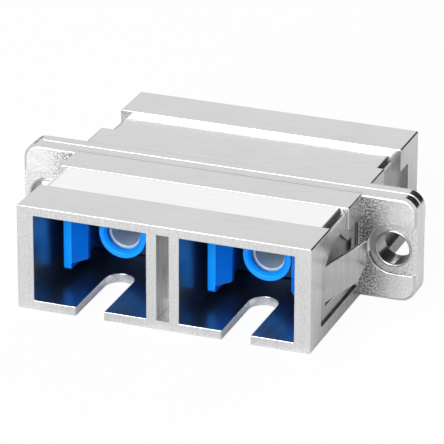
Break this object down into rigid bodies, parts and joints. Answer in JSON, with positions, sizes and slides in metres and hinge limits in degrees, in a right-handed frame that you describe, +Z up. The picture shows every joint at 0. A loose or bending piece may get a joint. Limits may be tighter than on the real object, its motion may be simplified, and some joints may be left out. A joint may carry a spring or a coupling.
{
  "type": "duplex square fibre adapter",
  "caption": "Metal bulkhead adapter that joins square push-pull fibre plugs end to end, with a flange and a spring clip.",
  "frame": {"origin": "centre of the underside, on the plane where the two castings meet", "axes": "+X across the two ports, +Y from the clip side to the rear, +Z up away from the keyways"},
  "size_m": [0.0348, 0.027, 0.0092],
  "materials": {
    "casting": "satin nickel plate over zinc casting",
    "spring_steel": "bright rolled spring steel",
    "blue_moulding": "moulded, slightly glossy",
    "ceramic": "ground white ceramic",
    "rivet_plate": "bright nickel plate"
  },
  "bodies": {
    "root": {"front_housing": "casting", "rear_housing": "casting", "retaining_clip": "spring_steel", "left_front_mount": "blue_moulding", "left_rear_mount": "blue_moulding", "right_front_mount": "blue_moulding", "right_rear_mount": "blue_moulding", "left_sleeve": "ceramic", "right_sleeve": "ceramic", "left_rivet": "rivet_plate", "right_rivet": "rivet_plate"}
  },
  "joints": []
}
